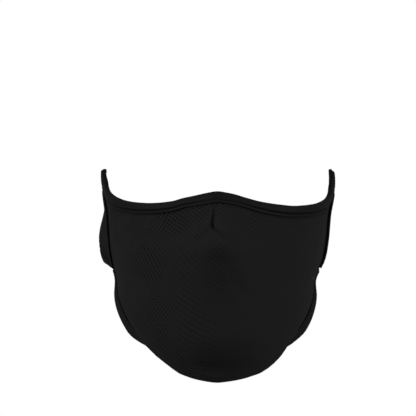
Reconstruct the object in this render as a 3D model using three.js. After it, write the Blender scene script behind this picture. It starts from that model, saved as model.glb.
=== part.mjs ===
// A half face mask of black stretch knit, in the form it keeps while it is worn.
// Millimetres, +Z up, -Y to the front. Left and right are as seen from the front, with +X to the right.
// The origin is on the inner face of the mask, in the middle of its top edge, where it sits on the nose bridge.
//
// Every piece that lies on the face is worked out on one surface, skin(turn, z, out): turn is the angle round the
// head in degrees, 0 in front and about 90 at each ear, z is the height, and out is the distance in front of the
// panel's inner face. Pieces that pass behind the ear are walls between two edges, each with its own table.
import * as THREE from "three";

const WALL = 1.1; // the knit panel
const TAPE = 0.8; // one layer of the folded binding tape
const GAP = 0.3; // between neighbouring pieces
const SLOT = 0.45; // between the panel and each leg of a binding
const STRAP = 2.2; // the ear strap, two layers of tape with the elastic between them
const BAND = 7.5; // height of the binding on the face
const GROOVE_AT = 5.3; // where the groove between its two rows lies
const GROOVE = 0.4; // how deep that groove is
const FOLD_ROUND = 0.6; // how much the binding's fold is rounded
const INNER_LEG = 5; // how far the binding reaches down inside
const EDGE_BAND = 4; // width of the binding on the rear edge
const EDGE_WEB = 1.3; // the fold of each binding, from its edge to the slot that holds the panel
const EAR_LOW = -48.5; // height of the rear binding's lower end, just above the lower binding
const EDGE_LEG = 3.6; // how far the rear binding reaches in on the inside
const STRAP_CUT = 0.7; // how much the strap's corners are cut off, and at what share of its width
const STRAP_SHARE = 0.08;
const SWELL = 0.8; // how far the lobe gusset swells away from the head
const REAR = 93; // turn of the mask's rear edge, just in front of the ear
const EAR_MIDDLE = -30; // a height halfway up that edge
const FLARE_FROM = 86; // turn where the rear edge starts to stand out from the head
const HEM_REACH = 8; // how far above the lower edge, or above the line where the hem turns under, its lip starts
const TUCK_FROM = 10.5; // how far above the lower edge the hem starts to turn under the chin
const TUCK_ROUND = 3; // radius of that turn
const FULL_TUCK = 60; // degrees of turn from which the lip is measured from that line
const STEP = 0.05; // step for slopes, in degrees or millimetres

const OUTER = WALL + SLOT + TAPE; // outer face of a binding
const INNER = -SLOT - TAPE; // inner face of a binding

// How many parts each piece has along its length, and the gussets also across.
const LOWER_PARTS = 56;
const EAR_PARTS = 13;
const LOOP_PARTS = 24;
const WING_PARTS = [5, 10];

// Rows of a table as objects, with the columns that the first argument names.
const table = (columns, rows) =>
  rows.map((row) => Object.fromEntries(columns.split(" ").map((name, i) => [name, row[i]])));

// Level sections of the inner face, from the top down: a half ellipse on each side, deepest at middle, and a soft
// ridge on top of it for the nose, the mouth and the chin. flare is how far the rear edge stands out or tucks in.
const SECTIONS = table("z middle left right cheek ridge spread flare", [
  [20, 86, 73.0, 73.6, 11, 7, 13, 1.6],
  [0, 86, 71.8, 73.8, 9.5, 10.6, 14, 1.7],
  [-14, 86, 69.7, 71.1, 4, 17.5, 16.5, 2.1],
  [-32, 86, 68.2, 69.1, -3, 21, 20, 2.4],
  [-44, 84.8, 66.8, 66.9, -3.4, 16.6, 23, 2],
  [-57, 83, 64.7, 62.8, -2.6, 12.4, 26, -0.9],
  [-68, 81, 63.6, 61.8, -2.4, 9.6, 28, -0.5],
  [-80, 78, 59.8, 58.6, -2.6, 7.6, 30, 0],
  [-92, 76, 54, 53.4, -2.6, 6, 30, 0],
  [-102, 76, 47.6, 49.4, 0.6, 3.6, 30, 0],
  [-110, 77, 42.4, 45.8, 7.4, 1.6, 30, 0],
  [-121, 79, 37.2, 40.8, 17, 0, 30, 0],
  [-132, 80, 35.4, 38.8, 19, 0, 30, 0],
]);

// The top edge from ear to ear: its height, and the height of the binding's foot.
const TOP_EDGE = table("turn z foot", [
  [-93, 15, 1.6],
  [-90.4, 12.3, -1],
  [-87, 7.8, -3.6],
  [-83, 4.2, -5.9],
  [-77, 0.9, -8],
  [-70, -1.6, -9.7],
  [-63, -3.6, -11.2],
  [-56, -5.2, -12.5],
  [-46, -6.6, -13.7],
  [-34, -7.2, -13.8],
  [-23, -6.2, -12.5],
  [-17, -4.4, -10.6],
  [-10.5, -2.9, -9.4],
  [-4, -1.2, -8.1],
  [0, -0.4, -7.5],
  [4, -1.2, -8.1],
  [7.2, -2, -8.6],
  [13, -4.1, -10.3],
  [19.5, -6.1, -12.5],
  [26, -7.4, -14.2],
  [33, -8.3, -15.4],
  [41, -8.9, -16],
  [50, -8.4, -15.7],
  [56, -7.8, -15.2],
  [62, -7, -14.4],
  [70, -5.2, -12.9],
  [77, -2.9, -11.1],
  [83, 0.8, -8.7],
  [87, 4.9, -6],
  [90.4, 9.8, -2.8],
  [93, 14, 0],
]);

// The lower edge from the left ear round under the chin to the right ear, how far its lip stands out, and how many
// degrees its hem turns under.
const LOWER_EDGE = table("turn z lip tuck", [
  [-93, -52, 0, 0],
  [-90, -62, 0.9, 0],
  [-87, -71, 1.9, 0],
  [-83, -79.5, 2.2, 0],
  [-77, -89.6, 1.8, 0],
  [-70, -99, 1.2, 24],
  [-64, -106.6, 0.7, 54],
  [-54, -115.2, 0.4, 76],
  [-40, -122.6, 0.2, 80],
  [-27, -125.2, 0.8, 80],
  [-12, -126.2, 2.2, 80],
  [0, -126.6, 2.8, 80],
  [12, -126.2, 2.2, 80],
  [28, -125, 0.8, 80],
  [42, -122.2, 0.2, 80],
  [55, -115.6, 0, 74],
  [64, -106, 0.4, 50],
  [70, -97.6, 1, 20],
  [76.5, -89, 1.8, 0],
  [84, -79, 2, 0],
  [88, -69.5, 1.7, 0],
  [90.5, -62, 0.8, 0],
  [93, -52, 0, 0],
]);

// One ear strap from the top binding over the ear, down behind it and forward under the lobe: the middles of its
// outer edge and of the edge next to the ear.
const LOOP_COLUMNS = "outX outY outZ inX inY inZ";
const LEFT_LOOP = table(LOOP_COLUMNS, [
  [-73.6, 91, 14.4, -74.6, 91, 4.8],
  [-73.8, 94.5, 15.5, -74.8, 93.5, 7],
  [-74.2, 98.5, 15.6, -75, 96.4, 8],
  [-74.6, 103.5, 14.1, -75.2, 99.8, 7.4],
  [-74.8, 108.5, 10, -75.2, 103, 4.5],
  [-74.2, 112.3, 2, -74.6, 105.3, -1],
  [-72.8, 114, -9, -73, 106.7, -9.5],
  [-73, 114, -21, -74.4, 106.7, -19.5],
  [-74.2, 111.3, -33, -76.4, 104.6, -29],
  [-74.8, 105, -44.2, -76.8, 100.8, -37.4],
  [-70.6, 97.5, -47.8, -74.4, 95.6, -42],
  [-67.6, 91.8, -49.8, -71.4, 91.4, -43.6],
]);
const RIGHT_LOOP = table(LOOP_COLUMNS, [
  [74.8, 91, 13.8, 75.2, 91, 4.4],
  [74.8, 94.5, 15.2, 75.3, 93.5, 6.8],
  [75, 98.5, 15.6, 75.4, 96.4, 8],
  [75.2, 103.5, 14.1, 75.6, 99.8, 7.4],
  [75.6, 108.5, 10, 75.9, 103, 4.5],
  [75.4, 112.3, 2, 75.7, 105.3, -1],
  [74, 114, -9, 74.2, 106.7, -9.5],
  [72.8, 114, -21, 73.1, 106.7, -19.5],
  [70.8, 111.3, -33, 71.4, 104.6, -29],
  [68, 105, -43, 69.4, 100.8, -36.8],
  [65.5, 97.5, -48.8, 67.8, 95.6, -42.2],
  [63.8, 91.8, -51.5, 66.8, 91.4, -45.2],
]);

// One lobe gusset, from the bottom up: its front edge beside the rear binding, and its rear edge.
const WING_COLUMNS = "frontX frontY frontZ rearX rearY rearZ";
const LEFT_WING = table(WING_COLUMNS, [
  [-70.5, 91.1, -43.2, -73.9, 94.6, -41.6],
  [-70.8, 91.1, -40, -76.4, 99.6, -37.2],
  [-71.1, 91.1, -35, -77.3, 103.2, -29.6],
  [-71.6, 91.1, -27, -76.7, 101.6, -23.5],
  [-72, 91.1, -17, -74.6, 96.6, -15.5],
  [-72.3, 91.1, -7.8, -72.9, 92.2, -7.6],
]);
const RIGHT_WING = table(WING_COLUMNS, [
  [66.8, 91.1, -44.4, 67.8, 94.6, -41.4],
  [68.2, 91.1, -40, 69.6, 99.6, -36],
  [69.4, 91.1, -35, 71.4, 103.2, -29.2],
  [70.4, 91.1, -27, 71.8, 101.6, -24.5],
  [71.2, 91.1, -18, 71.9, 96.6, -17.5],
  [71.6, 91.1, -13.6, 72.1, 92.2, -13.4],
]);

const MATERIALS = {
  knit: new THREE.MeshStandardMaterial({ color: "#1c1c1d", roughness: 0.85, metalness: 0 }),
  tape: new THREE.MeshStandardMaterial({ color: "#18181a", roughness: 0.75, metalness: 0 }),
};

// A column's value between the rows of a table, on a smooth cubic whose slope at a row is its neighbours' slope.
function along(rows, column, key, at) {
  const rising = rows[0][key] < rows.at(-1)[key] ? 1 : -1;
  let i = 0;
  while (i < rows.length - 2 && rising * (at - rows[i + 1][key]) > 0) i++;
  const slope = (a, b) => (rows[b][column] - rows[a][column]) / (rows[b][key] - rows[a][key]);
  const run = rows[i + 1][key] - rows[i][key];
  const here = slope(Math.max(i - 1, 0), i + 1);
  const next = slope(i, Math.min(i + 2, rows.length - 1));
  const t = (at - rows[i][key]) / run;
  const from = rows[i][column];
  const rise = rows[i + 1][column] - from;
  return from + run * here * t + (3 * rise - run * (2 * here + next)) * t * t
    + (run * (here + next) - 2 * rise) * t * t * t;
}

const radians = (degrees) => (degrees * Math.PI) / 180;
const smoothstep = (low, high, at) => THREE.MathUtils.smoothstep(at, low, high);
const count = (n) => Array.from({ length: n + 1 }, (_, i) => i / n);

// The panel's inner face before its lip is added.
function bare(turn, z) {
  const row = (column) => along(SECTIONS, column, "z", z);
  const side = Math.sign(turn);
  const half = turn < 0 ? row("left") : row("right");
  const x = half * Math.sin(radians(turn)) + side * row("flare") * smoothstep(FLARE_FROM, REAR, Math.abs(turn));
  const depth = row("middle") - row("cheek");
  const y = row("middle") - depth * Math.cos(radians(turn)) - row("ridge") * Math.exp(-((x / row("spread")) ** 2));
  return new THREE.Vector3(x, y, z);
}

// Millimetres round the head for one degree of turn.
const arc = (turn, z) => bare(turn + STEP, z).distanceTo(bare(turn - STEP, z)) / (2 * STEP);

// The lower edge's rise for each millimetre round the head.
function lowerSlope(turn) {
  return (lowerZ(turn + STEP) - lowerZ(turn - STEP)) / (2 * STEP * arc(turn, lowerZ(turn)));
}

const lowerZ = (turn) => along(LOWER_EDGE, "z", "turn", turn);
const tuckDegrees = (turn) => along(LOWER_EDGE, "tuck", "turn", turn);

// The lip of the lower edge: it grows as the square of the nearness to that edge, or to the line of the tuck.
function lip(turn, z) {
  const { clamp } = THREE.MathUtils;
  const at = clamp(turn, -REAR, REAR);
  const off = (z - lowerZ(at)) / Math.hypot(1, lowerSlope(at)) - TUCK_FROM * clamp(tuckDegrees(at) / FULL_TUCK, 0, 1);
  return along(LOWER_EDGE, "lip", "turn", at) * clamp(1 - off / HEM_REACH, 0, 1) ** 2;
}

function outward(turn, z) {
  const round = bare(turn + STEP, z).sub(bare(turn - STEP, z));
  const up = bare(turn, z + STEP).sub(bare(turn, z - STEP));
  return round.cross(up).normalize();
}

const lipped = (turn, z, out) => bare(turn, z).addScaledVector(outward(turn, z), out + lip(turn, z));

// The lipped surface with its hem bent under the chin: a length q below a line above the lower edge becomes an arc
// as far as the angle of the tuck, and then runs straight.
function skin(turn, z, out) {
  const at = THREE.MathUtils.clamp(turn, -REAR, REAR);
  const tuck = radians(tuckDegrees(at));
  const line = lowerZ(at) + TUCK_FROM * Math.hypot(1, lowerSlope(at));
  if (z >= line || tuck <= 0) return lipped(turn, z, out);
  const start = lipped(turn, line, 0);
  const normal = outward(turn, line);
  const ahead = lipped(turn + STEP, line + STEP * arc(turn, line) * lowerSlope(turn), 0).sub(start).normalize();
  const down = ahead.clone().cross(normal);
  const flat = lipped(turn, z, 0).sub(start);
  const q = flat.dot(down);
  const turned = Math.min(q / TUCK_ROUND, tuck);
  const rest = q - TUCK_ROUND * turned;
  const thick = out + flat.dot(normal);
  return start
    .addScaledVector(ahead, flat.dot(ahead))
    .addScaledVector(down, (TUCK_ROUND + thick) * Math.sin(turned) + rest * Math.cos(turned))
    .addScaledVector(normal, (TUCK_ROUND + thick) * Math.cos(turned) - TUCK_ROUND - rest * Math.sin(turned));
}

// A mesh from points and triangles, turned round if its faces point inwards.
function solid(name, points, triangles, material) {
  const volume = triangles.reduce(
    (sum, [a, b, c]) => sum + points[a].dot(points[b].clone().cross(points[c])), 0);
  const faces = volume < 0 ? triangles.map(([a, b, c]) => [a, c, b]) : triangles;
  const geometry = new THREE.BufferGeometry().setFromPoints(points).setIndex(faces.flat());
  geometry.computeVertexNormals();
  const mesh = new THREE.Mesh(geometry, material);
  mesh.name = name;
  return mesh;
}

// A closed wall on a grid: point(u, v, side) gives its inner face at side 0 and its outer face at side 1.
function wall(name, us, vs, point, material) {
  const points = [0, 1].flatMap((side) => us.flatMap((u) => vs.map((v) => point(u, v, side))));
  const at = (side, i, j) => (side * us.length + i) * vs.length + j;
  const triangles = [];
  const quad = (a, b, c, d) => triangles.push([a, b, c], [a, c, d]);
  const [m, n] = [us.length - 1, vs.length - 1];
  for (let i = 0; i < m; i++) {
    for (let j = 0; j < n; j++) {
      quad(at(1, i, j), at(1, i + 1, j), at(1, i + 1, j + 1), at(1, i, j + 1));
      quad(at(0, i, j), at(0, i, j + 1), at(0, i + 1, j + 1), at(0, i + 1, j));
    }
    quad(at(0, i, 0), at(0, i + 1, 0), at(1, i + 1, 0), at(1, i, 0));
    quad(at(1, i, n), at(1, i + 1, n), at(0, i + 1, n), at(0, i, n));
  }
  for (let j = 0; j < n; j++) {
    quad(at(1, 0, j), at(1, 0, j + 1), at(0, 0, j + 1), at(0, 0, j));
    quad(at(0, m, j), at(0, m, j + 1), at(1, m, j + 1), at(1, m, j));
  }
  return solid(name, points, triangles, material);
}

// A closed solid through stations: place(station, a, b) carries each point (a, b) of a flat outline to its station.
function carried(name, ring, stations, place, material) {
  const outline = THREE.ShapeUtils.isClockWise(ring) ? ring.toReversed() : ring;
  const points = stations.flatMap((station) => outline.map(({ x, y }) => place(station, x, y)));
  const n = outline.length;
  const last = (stations.length - 1) * n;
  const triangles = [];
  for (let i = 0; i < last; i += n) {
    for (let j = 0; j < n; j++) {
      const k = (j + 1) % n;
      triangles.push([i + j, i + k, i + n + k], [i + j, i + n + k, i + n + j]);
    }
  }
  for (const [a, b, c] of THREE.ShapeUtils.triangulateShape(outline, []))
    triangles.push([a, c, b], [last + a, last + b, last + c]);
  return solid(name, points, triangles, material);
}

// The folded binding's outline: x across it, 0 at its fold and width at its foot, and y out from the panel's inner
// face. The slot between its legs holds the panel's edge, and a groove parts its outer face into two rows.
function binding(width, innerLeg, groove) {
  const slot = [EDGE_WEB, (EDGE_WEB + innerLeg) / 2];
  const row = groove
    ? [[groove / 2, OUTER], [groove - 2 * GROOVE, OUTER], [groove, OUTER - GROOVE], [groove + 2 * GROOVE, OUTER]]
    : [];
  return [
    [FOLD_ROUND, OUTER], ...row, [width, OUTER],
    [width, OUTER - TAPE], [innerLeg, OUTER - TAPE], ...slot.toReversed().map((x) => [x, OUTER - TAPE]),
    ...slot.map((x) => [x, INNER + TAPE]), [innerLeg, INNER + TAPE],
    [innerLeg, INNER], [FOLD_ROUND, INNER], [0, INNER + FOLD_ROUND], [0, OUTER - FOLD_ROUND],
  ].map(([x, y]) => new THREE.Vector2(x, y));
}

const topZ = (turn) => along(TOP_EDGE, "z", "turn", turn);
const bandHeight = (turn) => topZ(turn) - along(TOP_EDGE, "foot", "turn", turn);

// Turns for the columns: close together on the nose and in front of the ears, and jawStep apart over the jaws.
const NOSE_TURNS = [2.5, 5.5, 9, 13, 17.5, 22.5];
const CHEEK_STEP = 5.5;
const JAW_FROM = 50;
const PANEL_JAW_STEP = 2.5;
const BINDING_JAW_STEP = 5;
const EAR_FROM = 80;
const EAR_STEP = 1.5;

function columns(limit, jawStep) {
  const half = [...NOSE_TURNS];
  for (let turn = half.at(-1) + CHEEK_STEP; turn < JAW_FROM; turn += CHEEK_STEP) half.push(turn);
  for (let turn = JAW_FROM + jawStep / 2; turn < EAR_FROM - 1; turn += jawStep) half.push(turn);
  for (let turn = EAR_FROM; turn < limit - 1; turn += EAR_STEP) half.push(turn);
  half.push(limit);
  return [...half.map((turn) => -turn).reverse(), 0, ...half];
}

// The panel's rows are close together inside the bindings and wider between them. v counts the rows from 0 to 1.
const LOW_ROWS = [EDGE_WEB + GAP, 3.2, 4.8, 6.4, 8.3, 10.5]; // millimetres above the lower edge
const HIGH_ROWS = [1, 0.65, 0.43, (EDGE_WEB + GAP) / BAND]; // shares of the top binding's height below the top edge
const MIDDLE_ROWS = 7;
const CROWDING = 1.25; // above 1, the middle rows stand closer together towards the nose
const PANEL_ROWS = LOW_ROWS.length + MIDDLE_ROWS + HIGH_ROWS.length - 1;
const STEEPEST = 1.5; // the most that a steep edge spreads the rows above the first one

function panelHeight(turn, v) {
  const row = Math.round(v * PANEL_ROWS);
  const steep = Math.hypot(1, lowerSlope(turn));
  const low = (i) =>
    lowerZ(turn) + LOW_ROWS[0] * steep + (LOW_ROWS[i] - LOW_ROWS[0]) * Math.min(steep, STEEPEST);
  const high = (i) => topZ(turn) - HIGH_ROWS[i] * bandHeight(turn);
  if (row < LOW_ROWS.length) return low(row);
  if (row >= LOW_ROWS.length + MIDDLE_ROWS) return high(row - LOW_ROWS.length - MIDDLE_ROWS);
  const share = (MIDDLE_ROWS + LOW_ROWS.length - row) / (MIDDLE_ROWS + 1);
  return THREE.MathUtils.lerp(high(0), low(LOW_ROWS.length - 1), share ** CROWDING);
}

function facePanel() {
  const limit = REAR - (EDGE_WEB + GAP) / arc(REAR, EAR_MIDDLE);
  const place = (turn, v, side) => skin(turn, panelHeight(turn, v), side * WALL);
  return wall("face_panel", columns(limit, PANEL_JAW_STEP), count(PANEL_ROWS), place, MATERIALS.knit);
}

function topBinding() {
  const place = (turn, across, out) => skin(turn, topZ(turn) - (across / BAND) * bandHeight(turn), out);
  return carried("top_binding", binding(BAND, INNER_LEG, GROOVE_AT), columns(REAR, BINDING_JAW_STEP), place, MATERIALS.tape);
}

// Turns that part the lower edge into equal lengths.
function lowerStations(parts) {
  const turns = count(20 * parts).map((t) => (2 * t - 1) * REAR);
  const points = turns.map((turn) => bare(turn, lowerZ(turn)));
  const lengths = [0];
  points.slice(1).forEach((point, i) => lengths.push(lengths[i] + point.distanceTo(points[i])));
  return count(parts).map((t) => turns[lengths.findIndex((length) => length >= t * lengths.at(-1) - STEP)]);
}

// The lower binding's sections stand square to the edge, so where the edge rises they lean towards the front.
function lowerBinding() {
  const place = (turn, across, out) => {
    const slope = lowerSlope(turn);
    const share = across / Math.hypot(1, slope);
    return skin(turn - (slope * share) / arc(turn, lowerZ(turn)), lowerZ(turn) + share, out);
  };
  return carried("lower_binding", binding(BAND, INNER_LEG, GROOVE_AT), lowerStations(LOWER_PARTS), place, MATERIALS.tape);
}

// The rear edge's binding, from just above the lower binding up to the foot of the top one.
function earEdge(side, name) {
  const place = (t, across, out) => {
    const foot = topZ(side * REAR) - bandHeight(side * REAR);
    const turn = side * (REAR - across / arc(side * REAR, THREE.MathUtils.lerp(EAR_LOW, foot, t)));
    return skin(turn, THREE.MathUtils.lerp(EAR_LOW, topZ(turn) - bandHeight(turn) - GAP, t), out);
  };
  return carried(name, binding(EDGE_BAND, EDGE_LEG, 0), count(EAR_PARTS), place, MATERIALS.tape);
}

// A smooth curve through one edge of a loop or a gusset.
const edge = (rows, x, y, z) =>
  new THREE.CatmullRomCurve3(rows.map((row) => new THREE.Vector3(row[x], row[y], row[z])), false, "centripetal");

// The strap's outline is a flat lozenge with cut corners, carried between its two edges.
function earLoop(name, rows) {
  const outer = edge(rows, "outX", "outY", "outZ");
  const inner = edge(rows, "inX", "inY", "inZ");
  const half = STRAP / 2;
  const corners = [[STRAP_SHARE, half], [1 - STRAP_SHARE, half], [1, half - STRAP_CUT]];
  const upper = [[0, half - STRAP_CUT], ...corners];
  const outline = [...upper, ...upper.toReversed().map(([x, y]) => [x, -y])].map(([x, y]) => new THREE.Vector2(x, y));
  const place = (t, across, out) => {
    const [a, b] = [outer.getPoint(t), inner.getPoint(t)];
    const ahead = outer.getTangent(t).add(inner.getTangent(t));
    const normal = b.clone().sub(a).cross(ahead).normalize();
    return a.lerp(b, across).addScaledVector(normal, out);
  };
  return carried(name, outline, count(LOOP_PARTS), place, MATERIALS.tape);
}

function earWing(name, rows) {
  const front = edge(rows, "frontX", "frontY", "frontZ");
  const rear = edge(rows, "rearX", "rearY", "rearZ");
  const outside = Math.sign(rows[0].frontX);
  const place = (u, v, side) => {
    const point = front.getPoint(v).lerp(rear.getPoint(v), u);
    point.x += outside * (SWELL * Math.sin(Math.PI * u) * Math.sin(Math.PI * v) + (side - 0.5) * WALL);
    return point;
  };
  return wall(name, ...WING_PARTS.map(count), place, MATERIALS.knit);
}

const mask = new THREE.Group();
mask.add(
  facePanel(),
  topBinding(),
  lowerBinding(),
  earEdge(-1, "ear_edge_left"),
  earEdge(1, "ear_edge_right"),
  earLoop("ear_loop_left", LEFT_LOOP),
  earLoop("ear_loop_right", RIGHT_LOOP),
  earWing("ear_wing_left", LEFT_WING),
  earWing("ear_wing_right", RIGHT_WING),
);
export default mask;
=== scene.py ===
# A half face mask of black stretch knit, held up in the form that it keeps while it is worn.
#
# Sizes are in millimetres until a mesh is made. +X is to the right as seen from the front, +Y into the
# mask and +Z up, and the origin is on the mask's inner face, in the middle of its top edge. The pieces
# that lie on the face are worked out on one surface, skin(turn, z, out): turn is the angle round the
# head in degrees, 0 in front and about 90 at each ear, z is the height, and out is the distance in
# front of the knit's inner face.
import math

import bmesh
import bpy
import numpy as np
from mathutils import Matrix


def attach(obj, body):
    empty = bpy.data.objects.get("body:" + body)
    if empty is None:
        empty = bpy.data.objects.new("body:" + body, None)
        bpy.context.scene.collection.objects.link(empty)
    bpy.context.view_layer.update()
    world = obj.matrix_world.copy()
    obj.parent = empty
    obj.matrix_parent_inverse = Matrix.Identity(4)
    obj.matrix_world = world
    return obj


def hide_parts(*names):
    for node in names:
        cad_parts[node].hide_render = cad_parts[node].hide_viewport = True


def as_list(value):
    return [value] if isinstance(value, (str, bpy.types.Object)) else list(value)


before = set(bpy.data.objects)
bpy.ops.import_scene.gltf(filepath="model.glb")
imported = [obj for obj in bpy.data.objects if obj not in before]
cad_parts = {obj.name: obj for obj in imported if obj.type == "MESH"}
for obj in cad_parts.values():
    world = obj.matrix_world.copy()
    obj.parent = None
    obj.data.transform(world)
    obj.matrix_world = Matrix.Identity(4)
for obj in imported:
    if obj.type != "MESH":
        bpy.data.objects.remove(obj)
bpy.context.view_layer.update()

MM = 0.001  # metres in a millimetre

WALL = 1.1  # the knit
STRAP = 2.2  # the ear strap, two layers of tape with the elastic between them
BAND = 7.5  # height of the binding on the face
GROOVE_AT = 5.3  # where the seam between its two rows lies
INNER_LEG = 5  # how far the binding reaches down inside
EDGE_BAND = 4  # width of the binding on the rear edge
TAPE_OUT = 2.15  # outer face of a binding
TAPE_IN = -1.05  # inner face of a binding
REAR = 93  # turn of the mask's rear edge, just in front of the ear
FLARE_FROM = 86  # turn where the rear edge starts to stand out from the head
HEM_REACH = 8  # how far above the lower edge, or above the line where the hem turns under, its lip starts
TUCK_FROM = 10.5  # how far above the lower edge the hem starts to turn under the chin
TUCK_ROUND = 3  # radius of that turn
FULL_TUCK = 60  # degrees of turn from which the lip is measured from that line
STEP = 0.05  # step for slopes, in degrees or millimetres
EDGE_AT = 1.3  # how far inside a binding's fold the knit's own edge lies
EAR_TAPE_LOW = -48.5  # where the rear edge's binding starts, just above the lower one
STRAP_WIDE = 9.5  # width of the ear strap
STRAP_SEAM = 6.7  # where the seam of the top binding runs on along it
PANEL_COLUMNS = 320
PANEL_ROWS = 152
NOSE_ZONE = 16  # how far from its middle the panel's columns stand closer together
LOW_VALLEY = 1.8  # how deep the seams pull the knit in along each binding
TOP_VALLEY = 0.8
REAR_VALLEY = 0.8
VALLEY_WIDE = 0.85
PUCKER = 3.1  # length of one pucker along a sewn seam
PUCKER_DEPTH = 0.1
THREAD = 0.3  # sewing thread
STITCH = 2.3  # one stitch
STITCH_PITCH = 2.8  # from one stitch to the next
STITCH_RISE = 0.25  # how far the middle of a stitch stands above its ends
GUSSET_SWELL = 0.8
SEWN_ON = 1.2  # how far the gusset's front edge and the strap's foot are moved towards the rear binding
SEWN_IN = 0.8  # how far the gusset's rear and lower edges are moved towards the strap's tape
HEM_RIDGE = 0.35  # height of the small ridges beside the gusset's hem
HEM_PITCH = 1.9  # from one of those ridges to the next
NOSE_TIP = (-0.4, -29)  # x and z of the swelling over the nose tip
NOSE_WIDE = 5
NOSE_SWELL = 0.5


def table(columns, rows):
    """The named columns of a short table, each as an array."""
    return dict(zip(columns.split(), np.array(rows, float).T))


# Level sections of the inner face, from the top down: a half ellipse on each side, deepest at middle,
# and a soft ridge on top of it for the nose, the mouth and the chin. flare is how far the rear edge
# stands out or tucks in.
SECTIONS = table("z middle left right cheek ridge spread flare", [
    [20, 86, 73.0, 73.6, 11, 7, 13, 1.6],
    [0, 86, 71.8, 73.8, 9.5, 10.6, 14, 1.7],
    [-14, 86, 69.7, 71.1, 4, 17.5, 16.5, 2.1],
    [-32, 86, 68.2, 69.1, -3, 21, 20, 2.4],
    [-44, 84.8, 66.8, 66.9, -3.4, 16.6, 23, 2],
    [-57, 83, 64.7, 62.8, -2.6, 12.4, 26, -0.9],
    [-68, 81, 63.6, 61.8, -2.4, 9.6, 28, -0.5],
    [-80, 78, 59.8, 58.6, -2.6, 7.6, 30, 0],
    [-92, 76, 54, 53.4, -2.6, 6, 30, 0],
    [-102, 76, 47.6, 49.4, 0.6, 3.6, 30, 0],
    [-110, 77, 42.4, 45.8, 7.4, 1.6, 30, 0],
    [-121, 79, 37.2, 40.8, 17, 0, 30, 0],
    [-132, 80, 35.4, 38.8, 19, 0, 30, 0],
])

# The top edge from ear to ear: its height, and the height of the binding's foot.
TOP_EDGE = table("turn z foot", [
    [-93, 15, 1.6],
    [-90.4, 12.3, -1],
    [-87, 7.8, -3.6],
    [-83, 4.2, -5.9],
    [-77, 0.9, -8],
    [-70, -1.6, -9.7],
    [-63, -3.6, -11.2],
    [-56, -5.2, -12.5],
    [-46, -6.6, -13.7],
    [-34, -7.2, -13.8],
    [-23, -6.2, -12.5],
    [-17, -4.4, -10.6],
    [-10.5, -2.9, -9.4],
    [-4, -1.2, -8.1],
    [0, -0.4, -7.5],
    [4, -1.2, -8.1],
    [7.2, -2, -8.6],
    [13, -4.1, -10.3],
    [19.5, -6.1, -12.5],
    [26, -7.4, -14.2],
    [33, -8.3, -15.4],
    [41, -8.9, -16],
    [50, -8.4, -15.7],
    [56, -7.8, -15.2],
    [62, -7, -14.4],
    [70, -5.2, -12.9],
    [77, -2.9, -11.1],
    [83, 0.8, -8.7],
    [87, 4.9, -6],
    [90.4, 9.8, -2.8],
    [93, 14, 0],
])

# The lower edge from the left ear round under the chin to the right ear, how far its lip stands out,
# and how many degrees its hem turns under.
LOWER_EDGE = table("turn z lip tuck", [
    [-93, -52, 0, 0],
    [-90, -62, 0.9, 0],
    [-87, -71, 1.9, 0],
    [-83, -79.5, 2.2, 0],
    [-77, -89.6, 1.8, 0],
    [-70, -99, 1.2, 24],
    [-64, -106.6, 0.7, 54],
    [-54, -115.2, 0.4, 76],
    [-40, -122.6, 0.2, 80],
    [-27, -125.2, 0.8, 80],
    [-12, -126.2, 2.2, 80],
    [0, -126.6, 2.8, 80],
    [12, -126.2, 2.2, 80],
    [28, -125, 0.8, 80],
    [42, -122.2, 0.2, 80],
    [55, -115.6, 0, 74],
    [64, -106, 0.4, 50],
    [70, -97.6, 1, 20],
    [76.5, -89, 1.8, 0],
    [84, -79, 2, 0],
    [88, -69.5, 1.7, 0],
    [90.5, -62, 0.8, 0],
    [93, -52, 0, 0],
])

# One ear strap from the top binding over the ear, down behind it and forward under the lobe: the
# middles of its outer edge and of the edge next to the ear.
LOOP_COLUMNS = "outX outY outZ inX inY inZ"
LEFT_LOOP = table(LOOP_COLUMNS, [
    [-73.6, 91, 14.4, -74.6, 91, 4.8],
    [-73.8, 94.5, 15.5, -74.8, 93.5, 7],
    [-74.2, 98.5, 15.6, -75, 96.4, 8],
    [-74.6, 103.5, 14.1, -75.2, 99.8, 7.4],
    [-74.8, 108.5, 10, -75.2, 103, 4.5],
    [-74.2, 112.3, 2, -74.6, 105.3, -1],
    [-72.8, 114, -9, -73, 106.7, -9.5],
    [-73, 114, -21, -74.4, 106.7, -19.5],
    [-74.2, 111.3, -33, -76.4, 104.6, -29],
    [-74.8, 105, -44.2, -76.8, 100.8, -37.4],
    [-70.6, 97.5, -47.8, -74.4, 95.6, -42],
    [-67.6, 91.8, -49.8, -71.4, 91.4, -43.6],
])
RIGHT_LOOP = table(LOOP_COLUMNS, [
    [74.8, 91, 13.8, 75.2, 91, 4.4],
    [74.8, 94.5, 15.2, 75.3, 93.5, 6.8],
    [75, 98.5, 15.6, 75.4, 96.4, 8],
    [75.2, 103.5, 14.1, 75.6, 99.8, 7.4],
    [75.6, 108.5, 10, 75.9, 103, 4.5],
    [75.4, 112.3, 2, 75.7, 105.3, -1],
    [74, 114, -9, 74.2, 106.7, -9.5],
    [72.8, 114, -21, 73.1, 106.7, -19.5],
    [70.8, 111.3, -33, 71.4, 104.6, -29],
    [68, 105, -43, 69.4, 100.8, -36.8],
    [65.5, 97.5, -48.8, 67.8, 95.6, -42.2],
    [63.8, 91.8, -51.5, 66.8, 91.4, -45.2],
])

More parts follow.
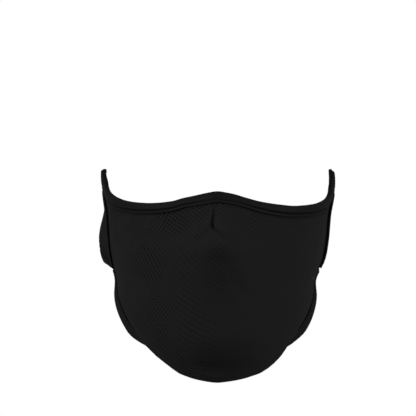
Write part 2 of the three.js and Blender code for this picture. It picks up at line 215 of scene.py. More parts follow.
# One lobe gusset, from the bottom up: its front edge beside the rear binding, and its rear edge.
WING_COLUMNS = "frontX frontY frontZ rearX rearY rearZ"
LEFT_WING = table(WING_COLUMNS, [
    [-70.5, 91.1, -43.2, -73.9, 94.6, -41.6],
    [-70.8, 91.1, -40, -76.4, 99.6, -37.2],
    [-71.1, 91.1, -35, -77.3, 103.2, -29.6],
    [-71.6, 91.1, -27, -76.7, 101.6, -23.5],
    [-72, 91.1, -17, -74.6, 96.6, -15.5],
    [-72.3, 91.1, -7.8, -72.9, 92.2, -7.6],
])
RIGHT_WING = table(WING_COLUMNS, [
    [66.8, 91.1, -44.4, 67.8, 94.6, -41.4],
    [68.2, 91.1, -40, 69.6, 99.6, -36],
    [69.4, 91.1, -35, 71.4, 103.2, -29.2],
    [70.4, 91.1, -27, 71.8, 101.6, -24.5],
    [71.2, 91.1, -18, 71.9, 96.6, -17.5],
    [71.6, 91.1, -13.6, 72.1, 92.2, -13.4],
])

# The folds of the knit over the nose, beside the mouth and over the chin. Each is a valley along a line of
# points, or where its depth is negative a ridge.
FOLD_COLUMNS = "x z depth width"
FOLDS = [
    table(FOLD_COLUMNS, [[-1.8, -7.5, 0.4, 0.8], [-2.1, -13, 1.8, 0.95], [-3, -19, 2.5, 1],
                         [-2.7, -22.2, 2.5, 1], [-1.1, -23.8, 2.2, 1], [1.4, -25.6, 1.9, 1.1],
                         [3.6, -27.8, 1.4, 1.4], [8, -31.6, 0.6, 2.2], [11, -35, 0, 3]]),
    table(FOLD_COLUMNS, [[-3.4, -20.4, 1.2, 1], [-7, -25.4, 1.5, 1.2], [-9.6, -29, 1, 1.8],
                         [-12, -34, 0, 3]]),
    table(FOLD_COLUMNS, [[3, -38, 0, 3.4], [6, -46, 0.6, 3.4], [9, -55, 0.6, 3.8], [17, -64, 0.5, 4],
                         [26, -72, 0, 4.4]]),
    table(FOLD_COLUMNS, [[-19, -107, 0, 2], [-13, -110.5, -0.9, 2], [-7, -113, -1.4, 2], [0, -114, -1.5, 2],
                         [6, -113, 0, 2]]),
]


def smoothstep(low, high, at):
    """0 below low, 1 above high, and 3t^2 - 2t^3 between them."""
    t = np.clip((at - low) / (high - low), 0, 1)
    return t * t * (3 - 2 * t)


def along(rows, column, key, at):
    """A column between a table's rows: cubic pieces whose slope at a row is the slope between its
    neighbours."""
    k = rows[key]
    v = rows[column]
    if k[0] > k[-1]:
        k = k[::-1]
        v = v[::-1]
    slope = np.gradient(v, k)
    slope[1:-1] = (v[2:] - v[:-2]) / (k[2:] - k[:-2])
    i = np.clip(np.searchsorted(k, at) - 1, 0, len(k) - 2)
    run = k[i + 1] - k[i]
    rise = v[i + 1] - v[i]
    t = (at - k[i]) / run
    bend = (3 * rise - run * (2 * slope[i] + slope[i + 1])) * t**2
    return v[i] + run * slope[i] * t + bend + (run * (slope[i] + slope[i + 1]) - 2 * rise) * t**3


def stacked(x, y, z):
    """Points as one array whose last axis is x, y, z."""
    return np.stack(np.broadcast_arrays(x, y, z), axis=-1)


def unit(v):
    """Vectors scaled to length 1."""
    return v / np.maximum(np.linalg.norm(v, axis=-1, keepdims=True), 1e-12)


def dot(a, b):
    """Dot products, kept as a last axis of one."""
    return (a * b).sum(axis=-1, keepdims=True)


def bare(turn, z):
    """The knit's inner face before its lip: x = half sin(turn), and y = middle - depth cos(turn) less a
    ridge that falls off as exp(-(x / spread)^2)."""
    side = np.sign(turn)
    angle = np.radians(turn)
    half = np.where(turn < 0, along(SECTIONS, "left", "z", z), along(SECTIONS, "right", "z", z))
    flare = along(SECTIONS, "flare", "z", z) * smoothstep(FLARE_FROM, REAR, np.abs(turn))
    x = half * np.sin(angle) + side * flare
    middle = along(SECTIONS, "middle", "z", z)
    depth = middle - along(SECTIONS, "cheek", "z", z)
    ridge = along(SECTIONS, "ridge", "z", z) * np.exp(-((x / along(SECTIONS, "spread", "z", z)) ** 2))
    return stacked(x, middle - depth * np.cos(angle) - ridge, z)


def arc(turn, z):
    """Millimetres round the head for one degree of turn."""
    return np.linalg.norm(bare(turn + STEP, z) - bare(turn - STEP, z), axis=-1) / (2 * STEP)


def lower_slope(turn):
    """The lower edge's rise for each millimetre round the head."""
    rise = along(LOWER_EDGE, "z", "turn", turn + STEP) - along(LOWER_EDGE, "z", "turn", turn - STEP)
    return rise / (2 * STEP * arc(turn, along(LOWER_EDGE, "z", "turn", turn)))


def outward(turn, z):
    """The unit normal of the bare surface, away from the head."""
    round_it = bare(turn + STEP, z) - bare(turn - STEP, z)
    up = bare(turn, z + STEP) - bare(turn, z - STEP)
    return unit(np.cross(round_it, up))


def lipped(turn, z, out):
    """The bare surface moved out, with the lip that grows as the square of the nearness to the lower
    edge."""
    at = np.clip(turn, -REAR, REAR)
    off = (z - along(LOWER_EDGE, "z", "turn", at)) / np.hypot(1, lower_slope(at))
    off -= TUCK_FROM * np.clip(along(LOWER_EDGE, "tuck", "turn", at) / FULL_TUCK, 0, 1)
    lip = along(LOWER_EDGE, "lip", "turn", at) * np.clip(1 - off / HEM_REACH, 0, 1) ** 2
    return bare(turn, z) + outward(turn, z) * (out + lip)[..., None]


def skin(turn, z, out):
    """The lipped surface, with its hem bent round a line above the lower edge: a length q below that
    line becomes an arc of TUCK_ROUND up to the angle tuck, and then a straight line."""
    turn, z, out = (np.asarray(value, float) for value in (turn, z, out))
    turn, z, out = np.broadcast_arrays(turn, z, out)
    plain = lipped(turn, z, out)
    at = np.clip(turn, -REAR, REAR)
    tuck = np.radians(along(LOWER_EDGE, "tuck", "turn", at))
    line = along(LOWER_EDGE, "z", "turn", at) + TUCK_FROM * np.hypot(1, lower_slope(at))
    below = (z < line) & (tuck > 0)
    if not below.any():
        return plain
    turn, line, tuck = turn[below], line[below], tuck[below, None]
    start = lipped(turn, line, 0 * line)
    normal = outward(turn, line)
    ahead = unit(lipped(turn + STEP, line + STEP * arc(turn, line) * lower_slope(turn), 0 * line) - start)
    down = np.cross(ahead, normal)
    flat = lipped(turn, z[below], 0 * line) - start
    q = dot(flat, down)
    turned = np.minimum(q / TUCK_ROUND, tuck)
    rest = q - TUCK_ROUND * turned
    bent = start + ahead * dot(flat, ahead)
    bent += down * (TUCK_ROUND * np.sin(turned) + rest * np.cos(turned))
    bent -= normal * (TUCK_ROUND * (1 - np.cos(turned)) + rest * np.sin(turned))
    bent += (normal * np.cos(turned) + down * np.sin(turned)) * (out[below, None] + dot(flat, normal))
    result = plain.copy()
    result[below] = bent
    return result


def folds(turn, z):
    """How far the knit stands in front of its plain surface: each fold takes away depth exp(-(d /
    width)^2), where d is the distance to the nearest point of its line, and the nose tip swells a
    little between them."""
    point = bare(turn, z)
    x = point[..., 0]
    height = NOSE_SWELL * np.exp(-((x - NOSE_TIP[0]) ** 2 + (z - NOSE_TIP[1]) ** 2) / NOSE_WIDE**2)
    for fold in FOLDS:
        deepest = np.zeros_like(x)
        for i in range(len(fold["x"]) - 1):
            ax, az = fold["x"][i], fold["z"][i]
            bx, bz = fold["x"][i + 1] - ax, fold["z"][i + 1] - az
            t = np.clip(((x - ax) * bx + (z - az) * bz) / (bx**2 + bz**2), 0, 1)
            far = (x - ax - t * bx) ** 2 + (z - az - t * bz) ** 2
            depth = fold["depth"][i] + t * (fold["depth"][i + 1] - fold["depth"][i])
            width = fold["width"][i] + t * (fold["width"][i + 1] - fold["width"][i])
            dent = depth * np.exp(-far / width**2)
            deepest = np.where(np.abs(dent) > np.abs(deepest), dent, deepest)
        height = height - deepest
    return height


def seam_valleys(turn, z):
    """How deep the seams pull the knit in along the foot of each binding: depth exp(-(d / width)^2),
    where d is the distance from a line just outside that foot."""
    from_low = (z - along(LOWER_EDGE, "z", "turn", turn)) / np.hypot(1, lower_slope(turn))
    from_top = (top_z(turn) - z) / band_height(turn) * BAND
    from_rear = (REAR - np.abs(turn)) * arc(turn, z)
    valley = np.zeros_like(z)
    for away, foot, depth in ((from_low, BAND, LOW_VALLEY), (from_top, BAND, TOP_VALLEY),
                              (from_rear, EDGE_BAND, REAR_VALLEY)):
        valley = np.maximum(valley, depth * np.exp(-(((away - foot - 0.6) / VALLEY_WIDE) ** 2)))
    return valley


def lengths(points):
    """Distances along a line of points, from 0 at its first."""
    steps = np.linalg.norm(np.diff(points, axis=0), axis=-1)
    return np.concatenate([[0], np.cumsum(steps)])


def new_piece(name, points, faces, uv, material):
    """An object from points in millimetres, faces as lists of point numbers, and a UV in millimetres a
    point. A closed mesh whose faces point inwards, which has a negative volume, is turned round."""
    mesh = bpy.data.meshes.new(name)
    mesh.from_pydata((np.asarray(points) * MM).tolist(), [], faces)
    solid = bmesh.new()
    solid.from_mesh(mesh)
    if solid.calc_volume(signed=True) < 0:
        mesh.flip_normals()
    solid.free()
    mesh.polygons.foreach_set("use_smooth", np.ones(len(mesh.polygons), bool))
    corner = np.empty(len(mesh.loops), np.int32)
    mesh.loops.foreach_get("vertex_index", corner)
    layer = mesh.uv_layers.new(name="cloth")
    layer.data.foreach_set("uv", (np.asarray(uv)[corner] * MM).astype(np.float32).ravel())
    mesh.materials.append(material)
    mesh.validate()
    piece = bpy.data.objects.new(name, mesh)
    bpy.context.scene.collection.objects.link(piece)
    return piece


def grid_faces(rows, columns, first=0, close=False):
    """Quads between the points of a grid that is numbered row by row from first, closed round its rows
    or not."""
    i, j = np.meshgrid(np.arange(rows - 1), np.arange(columns if close else columns - 1), indexing="ij")
    k = (j + 1) % columns
    corners = (i * columns + j, i * columns + k, (i + 1) * columns + k, (i + 1) * columns + j)
    quads = np.stack(corners, axis=-1)
    return quads.reshape(-1, 4) + first


def wall(name, inner, outer, uv, material):
    """A closed cloth wall from two grids of points, with its four rims: outer faces outwards."""
    rows, columns = inner.shape[:2]
    number = np.arange(rows * columns).reshape(rows, columns)
    back = number + rows * columns
    faces = [grid_faces(rows, columns)[:, ::-1], grid_faces(rows, columns, rows * columns)]
    for a, b in ((number[0], back[0]), (number[:, -1], back[:, -1]), (number[-1, ::-1], back[-1, ::-1]),
                 (number[::-1, 0], back[::-1, 0])):
        faces.append(np.stack([a[:-1], a[1:], b[1:], b[:-1]], axis=-1))
    points = np.concatenate([inner.reshape(-1, 3), outer.reshape(-1, 3)])
    both_uv = np.tile(uv.reshape(-1, 2), (2, 1))
    return new_piece(name, points, np.concatenate(faces).tolist(), both_uv, material)


def swept(name, rings, uv, material):
    """A closed solid through rings of points, one ring a station, with a flat cap on each end."""
    stations, around = rings.shape[:2]
    faces = grid_faces(stations, around, close=True).tolist()
    last = (stations - 1) * around
    faces += [list(range(around))[::-1], list(range(last, last + around))]
    return new_piece(name, rings.reshape(-1, 3), faces, uv.reshape(-1, 2), material)


def tape_outline(width, inner, groove, hold=EDGE_AT):
    """The folded tape's outline, anticlockwise as (across, out): a fold at 0, an outer face that swells
    between its seams, dips at the groove and slopes down to its foot, the slot from hold that takes the
    knit, and a shorter inner face."""
    end = 0.35
    across = np.linspace(0.5, width - end, 44)
    out = np.full_like(across, TAPE_OUT)
    if groove:
        first = np.clip(across / groove, 0, 1)
        second = np.clip((across - groove) / (width - groove), 0, 1)
        out += 0.3 * np.sin(np.pi * first) ** 0.7 * (across < groove)
        out += 0.1 * np.sin(np.pi * second) - 0.4 * second
        out -= 0.85 * np.exp(-(((across - groove) / 0.45) ** 2))
    else:
        out += 0.15 * np.sin(np.pi * across / width)
    round_end = np.radians(np.linspace(15, 90, 6))
    rim_across = width - end + end * np.sin(round_end)
    rim = np.stack([rim_across, out[-1] - 0.5 * (1 - np.cos(round_end))], axis=-1)
    face = np.concatenate([np.stack([across, out], axis=-1), rim])
    fold = np.radians(np.linspace(90, 270, 13))
    middle, half = (TAPE_OUT + TAPE_IN) / 2, (TAPE_OUT - TAPE_IN) / 2
    bend = np.stack([0.5 + 0.75 * np.cos(fold), middle + half * np.sin(fold)], axis=-1)
    inner_face = np.stack([np.linspace(0.7, inner - 0.2, 24), np.full(24, TAPE_IN)], axis=-1)
    legs = np.array([[inner, TAPE_IN + 0.25], [inner, -0.04], [hold, -0.04], [hold, WALL + 0.04],
                     [width, WALL + 0.04]])
    return np.concatenate([face[::-1], bend[1:-1], inner_face, legs])


def tape(name, outline, stations, place, pucker_at, material):
    """A folded tape: its outline carried through its stations by place(station, across, out). The outer
    face puckers along its seam as sin(2 pi length / PUCKER), fading with the square of the distance to
    the seam."""
    middle = place(stations, 0 * stations + 2, 0 * stations)
    length = lengths(middle)
    across, out = outline[:, 0], outline[:, 1]
    near = np.exp(-(((across - pucker_at) / 1.4) ** 2)) * (out > WALL)
    wave = np.sin(2 * np.pi * length / PUCKER + 0.8 * np.sin(length / 7))
    puckered = out[None, :] + PUCKER_DEPTH * wave[:, None] * near[None, :]
    rings = place(stations[:, None], across[None, :], puckered)
    girth = np.concatenate([[0], np.cumsum(np.linalg.norm(np.diff(outline, axis=0), axis=-1))])
    uv = np.stack(np.broadcast_arrays(length[:, None], girth[None, :]), axis=-1)
    return swept(name, rings, uv, material)


def stitches(name, place, stations, across, out, material):
    """A row of straight stitches along a seam at (across, out) of place(station, across, out). Each is
    a thread STITCH long whose middle stands up as 1 - u^2 and whose ends dip into the cloth, u being -1
    to 1 along it."""
    line = lengths(place(stations, 0 * stations + across, 0 * stations + out))
    count = int(line[-1] / STITCH_PITCH)
    u = np.linspace(-1, 1, 7)
    middles = (np.arange(count) + 0.5) * line[-1] / count
    station = np.interp(middles[:, None] + u * STITCH / 2, line, stations)[:, :, None]
    around = np.radians(np.arange(0, 360, 60))
    thick = THREAD / 2 * np.sqrt(1 - 0.9 * u**2)[:, None]
    rise = STITCH_RISE * (1 - u**2)[:, None] - STITCH_RISE / 2
    points = place(station, across + thick * np.cos(around), out + rise + thick * np.sin(around))
    each = len(u) * len(around)
    first = np.arange(count)[:, None, None] * each
    quads = (grid_faces(len(u), len(around), close=True) + first).reshape(-1, 4).tolist()
    ring = np.arange(len(around))
    ends = np.stack([ring[::-1], ring + each - len(around)])
    caps = (ends + first).reshape(-1, len(around)).tolist()
    return new_piece(name, points.reshape(-1, 3), quads + caps, np.zeros((count * each, 2)), material)


def top_z(turn):
    """Height of the top edge."""
    return along(TOP_EDGE, "z", "turn", turn)


def band_height(turn):
    """Height of the top binding, which leans where the edge rises to the ears."""
    return top_z(turn) - along(TOP_EDGE, "foot", "turn", turn)


def on_top(turn, across, out):
    """A point of the top binding, across from its fold towards its foot."""
    return skin(turn, top_z(turn) - across / BAND * band_height(turn), out)


def on_lower(turn, across, out):
    """A point of the lower binding, on a section square to its edge."""
    slope = lower_slope(turn)
    share = across / np.hypot(1, slope)
    low = along(LOWER_EDGE, "z", "turn", turn)
    return skin(turn - slope * share / arc(turn, low), low + share, out)


def on_ear(side):
    """A place function for the binding of the rear edge, up from the lower binding to the foot of the
    top one."""
    foot = along(TOP_EDGE, "foot", "turn", side * REAR)

    def place(t, across, out):
        near = arc(np.float64(side * REAR), EAR_TAPE_LOW + t * (foot - EAR_TAPE_LOW))
        turn = side * (REAR - across / near)
        top = along(TOP_EDGE, "foot", "turn", turn)
        return skin(turn, EAR_TAPE_LOW + t * (top - EAR_TAPE_LOW), out)

    return place


def edge(rows, names, t):
    """A smooth curve through one edge of a loop or a gusset, t being 0 at its first row and 1 at its
    last."""
    numbers = np.arange(len(rows[names[0]]), dtype=float)
    columns = [along({"row": numbers, name: rows[name]}, name, "row", t * numbers[-1]) for name in names]
    return stacked(*columns)


def on_strap(rows, side):
    """A place function for an ear strap, across being 0 at its outer edge and STRAP_WIDE next to the
    ear, and out away from the head."""

    def place(t, across, out):
        outer, inner = edge(rows, ("outX", "outY", "outZ"), t), edge(rows, ("inX", "inY", "inZ"), t)
        step = 0.002
        ahead = edge(rows, ("outX", "outY", "outZ"), t + step) + edge(rows, ("inX", "inY", "inZ"), t + step)
        normal = side * unit(np.cross(inner - outer, ahead - outer - inner))
        share = np.asarray(across / STRAP_WIDE)[..., None]
        return outer + (inner - outer) * share + normal * np.asarray(out)[..., None]

    return place


def even(place, low, high, count):
    """Stations from low to high that part the line at the fold into equal lengths."""
    stations = np.linspace(low, high, 4 * count)
    line = lengths(place(stations, 0 * stations, 0 * stations))
    return np.interp(np.linspace(0, line[-1], count), line, stations)


def shared(places, weight, count):
    """count places between the first and the last, closer together where the weight is higher."""
    total = np.concatenate([[0], np.cumsum((weight[1:] + weight[:-1]) / 2 * np.diff(places))])
    return np.interp(np.linspace(0, total[-1], count), total, places)


def face_knit(material):
    """The knit panel: columns that stand closer on the nose, and rows that stand closer on the nose and
    along the bindings, from inside the lower binding, round its tuck and up into the top one. Its folds
    and seams are pressed into both faces."""
    limit = REAR - (EDGE_AT + 0.3) / arc(np.float64(REAR), -30)
    fine = np.linspace(-limit, limit, 2000)
    round_it = lengths(skin(fine, -40 + 0 * fine, 0 * fine))
    from_nose = (round_it - round_it[-1] / 2) / NOSE_ZONE
    from_rear = np.minimum(round_it, round_it[-1] - round_it)
    weight = 1 + 1.3 * np.exp(-(from_nose**4)) + np.exp(-(((from_rear - 3) / 2) ** 2))
    turns = np.interp(shared(round_it, weight, PANEL_COLUMNS), round_it, fine)[:, None]
    steep = np.hypot(1, lower_slope(turns))
    low = along(LOWER_EDGE, "z", "turn", turns) + (EDGE_AT + 0.3) * steep
    high = top_z(turns) - (EDGE_AT + 0.3) / BAND * band_height(turns)
    heights = low + (high - low) * np.linspace(0, 1, 600)
    from_low = (heights - low) / steep
    from_top = (high - heights) / band_height(turns) * BAND
    weight = 1 + 0.8 * np.exp(-(((heights + 24) / 13) ** 4))
    for away in (from_low, from_top):
        weight += 1.3 * np.exp(-(((away - BAND + 1) / 1.6) ** 2))
    z = np.array([shared(*column, PANEL_ROWS) for column in zip(heights, weight)])
    relief = folds(turns, z) - seam_valleys(turns, z)
    inner = skin(turns, z, relief)
    outer = skin(turns, z, relief + WALL)
    # The knit's courses run along the rows and its wales along the columns.
    plain = skin(turns, z, 0 * z)
    wide = np.zeros_like(z)
    wide[1:] = np.linalg.norm(np.diff(plain, axis=0), axis=-1).cumsum(axis=0)
    wide -= wide[PANEL_COLUMNS // 2]
    tall = np.zeros_like(z)
    tall[:, 1:] = np.linalg.norm(np.diff(plain, axis=1), axis=-1).cumsum(axis=1)
    tall -= tall[:, -1:]
    return wall("face_knit", inner, outer, np.stack([wide, tall], axis=-1), material)


def gusset(name, rows, material):
    """A lobe gusset: a wall between its two edges that swells as sin(pi u) sin(pi v), with ridges beside
    its rear and lower hems that follow them as fading sines of the distance to them. The rear edge is
    moved on along the line from front to rear, and the foot down by a smooth step, both towards the
    strap's tape."""
    u = np.linspace(0, 1, 40)[:, None]
    v = np.linspace(0, 1, 90)[None, :]
    front, rear = edge(rows, ("frontX", "frontY", "frontZ"), v), edge(rows, ("rearX", "rearY", "rearZ"), v)
    front[..., 1] -= SEWN_ON
    rear = rear + SEWN_IN * (rear - front) / np.linalg.norm(rear - front, axis=-1, keepdims=True)
    foot = SEWN_IN * smoothstep(0.15, 0, v)
    front[..., 2] -= foot
    rear[..., 2] -= foot
    points = front + (rear - front) * u[..., None]
    hem = np.linalg.norm(rear - front, axis=-1) * (1 - u)
    ridges = HEM_RIDGE * np.sin(2 * np.pi * hem / HEM_PITCH) * np.exp(-hem / 4) * smoothstep(0.62, 0.35, v)
    below = front[..., 2] - rows["frontZ"][0] + 0 * u
    ridges = ridges + HEM_RIDGE * np.sin(2 * np.pi * below / HEM_PITCH) * np.exp(-below / 4)
    swell = GUSSET_SWELL * np.sin(np.pi * u) * np.sin(np.pi * v) + ridges
    outside = np.sign(rows["frontX"][0])
    inner, outer = points.copy(), points.copy()
    inner[..., 0] += outside * (swell - WALL / 2)
    outer[..., 0] += outside * (swell + WALL / 2)
    length = edge(rows, ("frontX", "frontY", "frontZ"), v)[..., 2] - rows["frontZ"][0]
    uv = np.stack(np.broadcast_arrays(hem, length + 0 * hem), axis=-1)
    return wall(name, inner, outer, uv, material)


def strap(name, rows, end, material):
    """An ear strap: the top binding's tape running on past the knit, folded over its elastic. It leaves
    the binding as thick as that is, and thins over its first tenth."""
    place = on_strap(rows, end)
    outline = tape_outline(STRAP_WIDE, STRAP_WIDE - 0.3, STRAP_SEAM, STRAP_WIDE - 4.5)
    outline[:, 1] -= (TAPE_OUT + TAPE_IN) / 2
    stations = even(place, 0, 1, 130)
    line = lengths(place(stations, 0 * stations, 0 * stations))
    thick = 1 + (STRAP / (TAPE_OUT - TAPE_IN) - 1) * smoothstep(0, 0.12, stations)
    near = np.exp(-(((outline[:, 0] - STRAP_SEAM) / 1.8) ** 2))
    wave = 1 + PUCKER_DEPTH * np.sin(2 * np.pi * line / PUCKER)[:, None] * near[None, :]
    rings = place(stations[:, None], outline[None, :, 0], outline[None, :, 1] * thick[:, None] * wave)
    girth = np.concatenate([[0], np.cumsum(np.linalg.norm(np.diff(outline, axis=0), axis=-1))])
    uv = np.stack(np.broadcast_arrays(line[:, None], girth[None, :]), axis=-1)
    return swept(name, rings, uv, material)


def linear(colour):
    """An sRGB hex colour as linear RGBA."""
    parts = [int(colour[i:i + 2], 16) / 255 for i in (1, 3, 5)]
    return [c / 12.92 if c <= 0.04045 else ((c + 0.055) / 1.055) ** 2.4 for c in parts] + [1]


def add(tree, kind, inputs=None, **settings):
    """Adds a node. settings are its properties, and inputs are values for its sockets, or sockets to
    link to them."""
    made = tree.nodes.new("ShaderNode" + kind)
    for name, value in settings.items():
        setattr(made, name, value)
    for name, value in (inputs or {}).items():
        if isinstance(value, bpy.types.NodeSocket):
            tree.links.new(value, made.inputs[name])
        else:
            made.inputs[name].default_value = value
    return made


def new_material(name):
    """An empty node material and its tree."""
    material = bpy.data.materials.new(name)
    material.use_nodes = True
    material.node_tree.nodes.clear()
    return material, material.node_tree


def finish_material(tree, colour, bump, roughness, **constant):
    """A Principled surface: colour, bump and roughness may be sockets, and the rest are constants."""
    inputs = {"Base Color": colour, "Normal": bump, "Roughness": roughness}
    inputs.update({name.replace("_", " "): value for name, value in constant.items()})
    surface = add(tree, "BsdfPrincipled", inputs)
    add(tree, "OutputMaterial", {"Surface": surface.outputs["BSDF"]})


def wave(tree, along_it, pitch):
    """0 to 1 and back once each pitch millimetres, as a raised cosine of a length in metres."""
    angle = add(tree, "Math", {0: along_it, 1: 2 * math.pi / (pitch * MM)}, operation="MULTIPLY")
    cosine = add(tree, "Math", {0: angle.outputs[0]}, operation="COSINE")
    return add(tree, "Math", {0: cosine.outputs[0], 1: 0.5, 2: 0.5}, operation="MULTIPLY_ADD").outputs[0]


def pique_knit():
    """Polyester and elastane pique knit, dyed black and matt: rows of small tuck-stitch dimples, pressed in
    by bump and painted darker than the yarn between them as painted shade in their hollows, and a fuzz of
    filaments that catches light where the cloth turns away."""
    material, tree = new_material("pique_knit")
    cloth = add(tree, "UVMap", uv_map="cloth").outputs["UV"]
    place = add(tree, "TexCoord").outputs["Object"]
    slack = add(tree, "TexNoise", {"Vector": place, "Scale": 60, "Detail": 2})
    shift = add(tree, "VectorMath", {0: slack.outputs["Color"], 1: (0.0012, 0.0012, 0)},
                operation="MULTIPLY")
    moved = add(tree, "VectorMath", {0: cloth, 1: shift.outputs[0]}, operation="ADD")
    part = add(tree, "SeparateXYZ", {0: moved.outputs[0]})
    # Dimples stand in slanting rows, each row half a stitch across from the one below, and 2.5 mm
    # apart. That is over twice the real 1.1 mm, so that they show at the distance of the camera.
    rising = add(tree, "Math", {0: part.outputs["X"], 1: part.outputs["Y"]}, operation="ADD").outputs[0]
    falling = add(tree, "Math", {0: part.outputs["X"], 1: part.outputs["Y"]},
                  operation="SUBTRACT").outputs[0]
    slants = wave(tree, rising, 3.5), wave(tree, falling, 3.5)
    both = add(tree, "Math", {0: slants[0], 1: slants[1]}, operation="MULTIPLY").outputs[0]
    # Their bump and painted shade are strongest on the left cheek and under the top binding, and weakest on
    # the right cheek.
    patches = add(tree, "TexNoise",
                  {"Vector": place, "Scale": 38, "Detail": 3, "Roughness": 0.6}).outputs["Fac"]
    where = add(tree, "SeparateXYZ", {0: place})
    left_side_gain = add(tree, "MapRange", {"Value": where.outputs["X"], "From Min": -0.04, "From Max": 0.01,
                                        "To Min": 1, "To Max": 0.25}).outputs[0]
    top_gain = add(tree, "MapRange", {"Value": where.outputs["Z"], "From Min": -0.038, "From Max": -0.018,
                                       "To Min": 0, "To Max": 0.45}).outputs[0]
    side_and_top_gain = add(tree, "Math", {0: left_side_gain, 1: top_gain}, operation="ADD").outputs[0]
    patchy = add(tree, "MapRange", {"Value": patches, "From Min": 0.42, "From Max": 0.58, "To Min": 0.25,
                                    "To Max": 1}).outputs[0]
    strength = add(tree, "Math", {0: patchy, 1: side_and_top_gain}, operation="MULTIPLY").outputs[0]
    dimple_and_shade = add(tree, "Math", {0: both, 1: strength}, operation="MULTIPLY").outputs[0]
    yarn = add(tree, "TexNoise", {"Vector": place, "Scale": 2600, "Detail": 2}).outputs["Fac"]
    depth = add(tree, "Math", {0: yarn, 1: 0.35, 2: dimple_and_shade}, operation="MULTIPLY_ADD")
    bump = add(tree, "Bump", {"Height": depth.outputs[0], "Strength": 1, "Distance": 0.3 * MM}, invert=True)
    tone = add(tree, "Mix", {"Factor": patches, "A": linear("#1b1b1b"), "B": linear("#212121")},
               data_type="RGBA")
    # Painted shade: the dimples are painted almost black, as the shade in their hollows, on top of their
    # bump.
    colour = add(tree, "Mix", {"Factor": dimple_and_shade, "A": tone.outputs["Result"], "B": linear("#040404")},
                 data_type="RGBA")
    finish_material(tree, colour.outputs["Result"], bump.outputs["Normal"], 0.85, IOR=1.5,
                    Specular_IOR_Level=0.1, Sheen_Weight=0.006, Sheen_Roughness=0.4,
                    Sheen_Tint=linear("#c8c8c8"))
    return material


def binding_tape(name, dark, light, back):
    """Nylon and elastane folded binding tape, knitted fine and dyed black: smoother than the pique, with
    fine ribs across it and a soft satin shine along its swelling rows. From back millimetres round the
    tape's outline onward it is painted almost black: painted shade, where the head it is worn on would keep
    the light from its inner side."""
    material, tree = new_material(name)
    cloth = add(tree, "UVMap", uv_map="cloth").outputs["UV"]
    place = add(tree, "TexCoord").outputs["Object"]
    part = add(tree, "SeparateXYZ", {0: cloth})
    # Ribs are 0.9 mm apart.
    ribs = wave(tree, part.outputs["X"], 0.9)
    yarn = add(tree, "TexNoise", {"Vector": place, "Scale": 3200, "Detail": 2}).outputs["Fac"]
    height = add(tree, "Math", {0: ribs, 1: 0.5, 2: yarn}, operation="MULTIPLY_ADD")
    bump = add(tree, "Bump", {"Height": height.outputs[0], "Strength": 1, "Distance": 0.05 * MM})
    patches = add(tree, "TexNoise", {"Vector": place, "Scale": 90, "Detail": 2}).outputs["Fac"]
    colour = add(tree, "Mix", {"Factor": patches, "A": linear(dark), "B": linear(light)}, data_type="RGBA")
    # Painted shade: from back millimetres round the outline onward the tape is darkened to near black.
    shaded_back = add(tree, "MapRange", {"Value": part.outputs["Y"], "From Min": (back - 0.5) * MM,
                                    "From Max": (back + 0.5) * MM, "To Min": 0, "To Max": 1}).outputs[0]
    colour = add(tree, "Mix", {"Factor": shaded_back, "A": colour.outputs["Result"], "B": linear("#050505")},
                 data_type="RGBA")
    finish_material(tree, colour.outputs["Result"], bump.outputs["Normal"], 0.65, IOR=1.5,
                    Specular_IOR_Level=0.1, Sheen_Weight=0.004, Sheen_Roughness=0.4,
                    Sheen_Tint=linear("#c0c0c4"))
    return material


def sewing_thread():
    """Spun polyester sewing thread, black: its twist shows as a slight shine on each stitch."""
    material, tree = new_material("sewing_thread")
    place = add(tree, "TexCoord").outputs["Object"]
    twist = add(tree, "TexNoise", {"Vector": place, "Scale": 4000, "Detail": 1}).outputs["Fac"]
    bump = add(tree, "Bump", {"Height": twist, "Strength": 0.6, "Distance": 0.04 * MM})
    finish_material(tree, linear("#0b0b0c"), bump.outputs["Normal"], 0.6, IOR=1.5, Specular_IOR_Level=0.15)
    return material


def floor_paper():
    """Matt white background paper, rolled out flat: pale, with no shine of its own, and lit evenly all
    over."""
    material, tree = new_material("background_paper")
    place = add(tree, "TexCoord").outputs["Object"]
    grain = add(tree, "TexNoise", {"Vector": place, "Scale": 400, "Detail": 2}).outputs["Fac"]
    colour = add(tree, "Mix", {"Factor": grain, "A": linear("#f0f0f0"), "B": linear("#f6f6f6")},
                 data_type="RGBA")
    bump = add(tree, "Bump", {"Height": grain, "Strength": 0.1, "Distance": 0.1 * MM})
    finish_material(tree, colour.outputs["Result"], bump.outputs["Normal"], 0.9,
                    Emission_Color=linear("#f4f4f4"), Emission_Strength=0.5)
    return material


def cloth(piece, flat, held, rests_on, with_pieces=(), area=None):
    """Takes a sheet's flat width and length in millimetres, with its area where the cut isn't a rectangle,
    turns them into metres and keeps nothing."""
    size = tuple(side * MM for side in flat)
    area and area * MM**2
    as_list(rests_on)
    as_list(with_pieces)


def settle(piece, node):
    """Puts a piece in the assembly: it rides on the one body and stands for a CAD node, which is hidden."""
    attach(piece, "root")
    if node:
        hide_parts(node)
    return piece


knit = pique_knit()
# Each binding tape is painted near black from its last number onward round its outline, as painted shade on
# its inner side.
tape_cloth = binding_tape("binding_tape", "#101011", "#141415", 9.8)
# The two rear tapes are lit and shaded copies of one tape: the left is painted lighter, as painted light,
# and the right darker, as painted shade.
lit_and_shaded_rear_tapes = {"left": binding_tape("rear_tape_left_lit", "#161616", "#1a1a1a", 6.4),
              "right": binding_tape("rear_tape_right_shaded", "#0c0c0c", "#101010", 6.4)}
strap_cloth = binding_tape("strap_tape", "#101011", "#141415", 8.2)
thread = sewing_thread()

face = settle(face_knit(knit), "face_panel")
edges_of_knit = ["top_tape", "lower_tape", "ear_tape_left", "ear_tape_right"]
cloth(face, (280, 135), "stretched", edges_of_knit, area=24600)

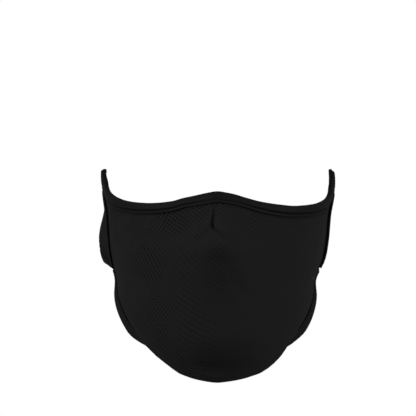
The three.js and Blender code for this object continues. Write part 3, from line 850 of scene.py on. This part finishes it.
bound = tape_outline(BAND, INNER_LEG, GROOVE_AT)
seam_out = TAPE_OUT - 0.7
for word, place, length in (("top", on_top, 255), ("lower", on_lower, 240)):
    turns = even(place, -REAR, REAR, 420)
    binding = tape(f"{word}_tape", bound, turns, place, GROOVE_AT, tape_cloth)
    seam = stitches(f"{word}_seam", place, turns, GROOVE_AT, seam_out, thread)
    settle(binding, f"{word}_binding")
    settle(seam, None)
    cloth(binding, (14, length), "folded", [face], [seam])

for side, word, loop, wing, cut in ((-1, "left", LEFT_LOOP, LEFT_WING, (14, 36, 410)),
                                    (1, "right", RIGHT_LOOP, RIGHT_WING, (13, 31, 345))):
    place = on_ear(side)
    stations = np.linspace(0, 1, 120)
    outline = tape_outline(EDGE_BAND, EDGE_BAND - 0.4, 0)
    binding = tape(f"ear_tape_{word}", outline, stations, place, 3, lit_and_shaded_rear_tapes[word])
    seam = stitches(f"ear_seam_{word}", place, stations, 3, TAPE_OUT, thread)
    settle(binding, f"ear_edge_{word}")
    settle(seam, None)
    cloth(binding, (10, 50), "folded", [face], [seam])

    rows = {name: column.copy() for name, column in loop.items()}
    for names, across in ((("outX", "outY", "outZ"), 0), (("inX", "inY", "inZ"), BAND)):
        start = on_top(np.float64(side * REAR), np.float64(across), np.float64((TAPE_OUT + TAPE_IN) / 2))
        for name, value in zip(names, start):
            rows[name][0] = value
        rows[names[1]][-1] -= SEWN_ON
    place = on_strap(rows, side)
    stations = even(place, 0.02, 0.98, 130)
    over_ear = strap(f"ear_strap_{word}", rows, side, strap_cloth)
    seam = stitches(f"strap_seam_{word}", place, stations, STRAP_SEAM, STRAP / 2 - 0.35, thread)
    settle(over_ear, f"ear_loop_{word}")
    settle(seam, None)
    cloth(over_ear, (14, 76), "stretched", ["top_tape", f"lobe_gusset_{word}"], [seam])
    wing_piece = settle(gusset(f"lobe_gusset_{word}", wing, knit), f"ear_wing_{word}")
    cloth(wing_piece, cut[:2], "stretched", [over_ear, binding], area=cut[2])

# The camera stands 1.6 m in front of the mask at the height of its nose, 6 mm to the left of its middle.
CAMERA_AT = (-5.9, -1600, -10)
camera = bpy.data.objects.new("camera", bpy.data.cameras.new("camera"))
camera.data.sensor_width = 36
camera.data.lens = 222
camera.data.clip_end = 50
camera.location = [c * MM for c in CAMERA_AT]
camera.rotation_euler = (math.pi / 2, 0, 0)
bpy.context.scene.collection.objects.link(camera)
bpy.context.scene.camera = camera


def softbox(name, place, target, size, power):
    """A square area light that faces its target."""
    light = bpy.data.lights.new(name, "AREA")
    light.shape = "SQUARE"
    light.size = size
    light.energy = power
    lamp = bpy.data.objects.new(name, light)
    lamp.location = place
    lamp.visible_camera = False
    away = np.array(place) - np.array(target)
    down = math.atan2(math.hypot(away[0], away[1]), away[2])
    lamp.rotation_euler = (down, 0, math.atan2(away[1], away[0]) + math.pi / 2)
    bpy.context.scene.collection.objects.link(lamp)


MIDDLE = (0, 0.04, -0.05)
softbox("key", (-1.85, -1.15, 0.75), MIDDLE, 1.4, 30)
softbox("fill", (1.95, -1.05, 0.55), MIDDLE, 1.4, 24.5)
softbox("top", (0, -0.4, 1.9), MIDDLE, 1.6, 1)
softbox("rear", (0.1, 1.9, -0.03), MIDDLE, 0.5, 16)

world = bpy.data.worlds.new("studio")
world.use_nodes = True
world.node_tree.nodes.clear()
seen = add(world.node_tree, "LightPath").outputs["Is Camera Ray"]
ambient = add(world.node_tree, "Background", {"Color": (1, 1, 1, 1), "Strength": 0.22})
backdrop = add(world.node_tree, "Background", {"Color": (1, 1, 1, 1), "Strength": 1.0})
chosen = add(world.node_tree, "MixShader", {0: seen, 1: ambient.outputs[0], 2: backdrop.outputs[0]})
add(world.node_tree, "OutputWorld", {"Surface": chosen.outputs[0]})
bpy.context.scene.world = world
bpy.context.scene.view_settings.view_transform = "Standard"

FLOOR_Z = -0.45
angle = np.radians(np.arange(0, 360, 5))
circle = stacked(3.5 * np.cos(angle), 3.5 * np.sin(angle), FLOOR_Z) / MM
floor = new_piece("floor", circle, [list(range(len(angle)))], circle[:, :2], floor_paper())
floor.visible_diffuse = False
floor.visible_glossy = False
